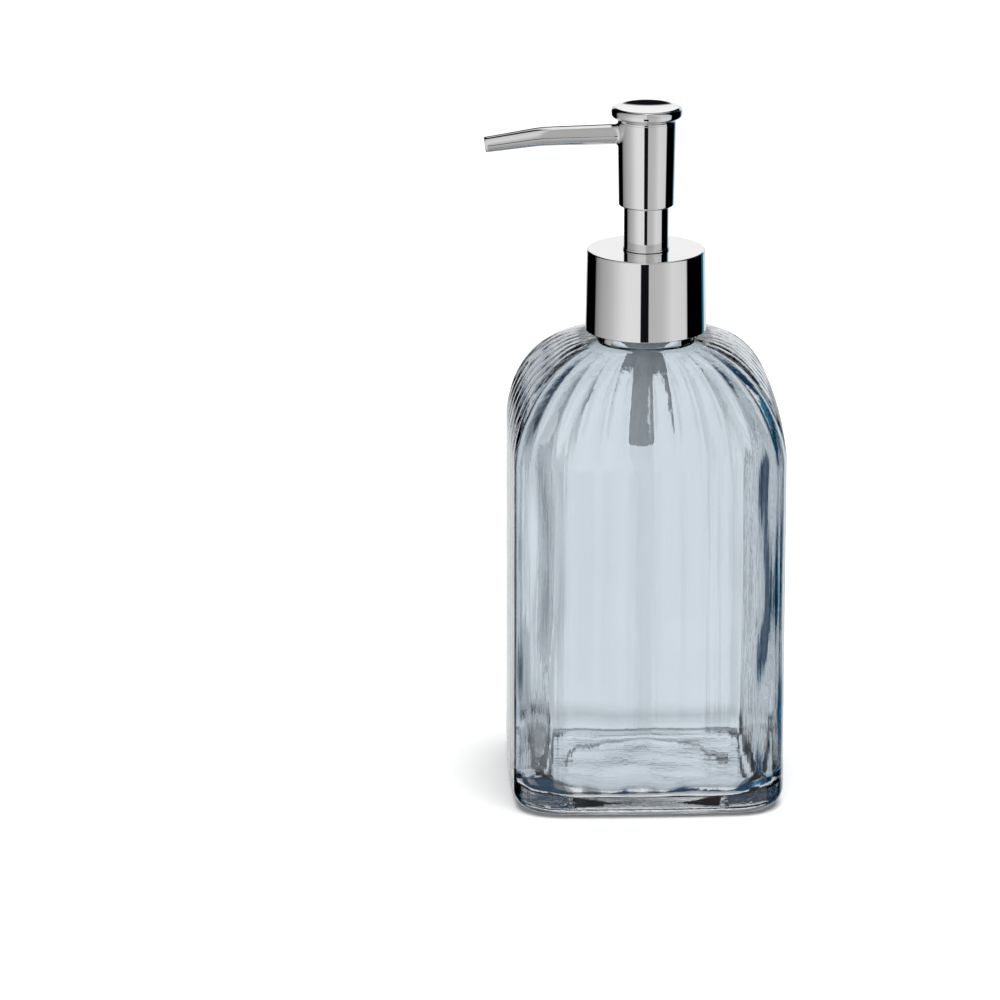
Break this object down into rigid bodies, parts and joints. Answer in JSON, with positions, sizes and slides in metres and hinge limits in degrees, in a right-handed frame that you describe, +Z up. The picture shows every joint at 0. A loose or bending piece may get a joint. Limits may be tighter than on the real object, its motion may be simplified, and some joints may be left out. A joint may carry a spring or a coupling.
{
  "type": "soap pump dispenser",
  "caption": "Square fluted glass bottle with rounded corners and a domed shoulder, closed by a chrome screw collar that carries a chrome press pump with a long, slightly drooping spout.",
  "frame": {"origin": "centre of the bottle's foot, on the plane it stands on and on the axis of bottle and pump", "axes": "+Z up along the pump's axis, -X along the spout, -Y towards the side seen in the picture"},
  "size_m": [0.0816, 0.075, 0.19],
  "materials": {
    "bottle_glass": "clear, faintly blue-grey, fluted",
    "gasket_foam": "soft",
    "cap_plastic": "moulded",
    "chrome": "mirror",
    "housing_plastic": "translucent",
    "chaplet_plastic": "moulded",
    "tube_plastic": "clear",
    "spring_steel": "bright wire",
    "ball_steel": "polished",
    "stem_plastic": "moulded",
    "seal_plastic": "soft",
    "liner_plastic": "moulded"
  },
  "bodies": {
    "bottle": {"bottle": "bottle_glass"},
    "pump_unit": {"pump_housing": "housing_plastic", "chaplet": "chaplet_plastic", "neck_sleeve": "chrome", "neck_gasket": "gasket_foam", "dip_tube": "tube_plastic", "spring_seat": "chaplet_plastic", "return_spring": "spring_steel"},
    "closure": {"screw_cap": "cap_plastic", "collar_shell": "chrome"},
    "stem": {"pump_stem": "stem_plastic", "piston": "stem_plastic", "piston_seal": "seal_plastic", "outlet_cage": "chaplet_plastic"},
    "head": {"actuator_core": "stem_plastic", "actuator_body": "chrome", "actuator_cap": "chrome", "spout": "chrome", "spout_liner": "liner_plastic"},
    "inlet_valve": {"inlet_ball": "ball_steel"},
    "outlet_valve": {"outlet_ball": "ball_steel"}
  },
  "joints": [
    {"name": "pump_lift", "type": "slide", "parent": "bottle", "child": "pump_unit", "axis": [0, 0, 1], "range_m": [0, 0.00529]},
    {"name": "cap_turn", "type": "hinge", "parent": "pump_unit", "child": "closure", "pos_m": [0, 0, 0.14], "axis": [0, 0, 1], "range_deg": [0, 450]},
    {"name": "press", "type": "slide", "parent": "pump_unit", "child": "stem", "axis": [0, 0, -1], "range_m": [0, 0.0095], "stiffness_N_per_m": 900, "springref_m": -0.006, "deforming": ["return_spring"]},
    {"name": "head_turn", "type": "hinge", "parent": "stem", "child": "head", "pos_m": [0, 0, 0.18], "axis": [0, 0, 1], "continuous": true},
    {"name": "inlet_ball_lift", "type": "slide", "parent": "pump_unit", "child": "inlet_valve", "axis": [0, 0, 1], "range_m": [0, 0.0012]},
    {"name": "outlet_ball_lift", "type": "slide", "parent": "stem", "child": "outlet_valve", "axis": [0, 0, 1], "range_m": [0, 0.0012]}
  ],
  "couplings": [
    {"joint": "pump_lift", "follows": "cap_turn", "m_per_rad": 0.00067376}
  ]
}
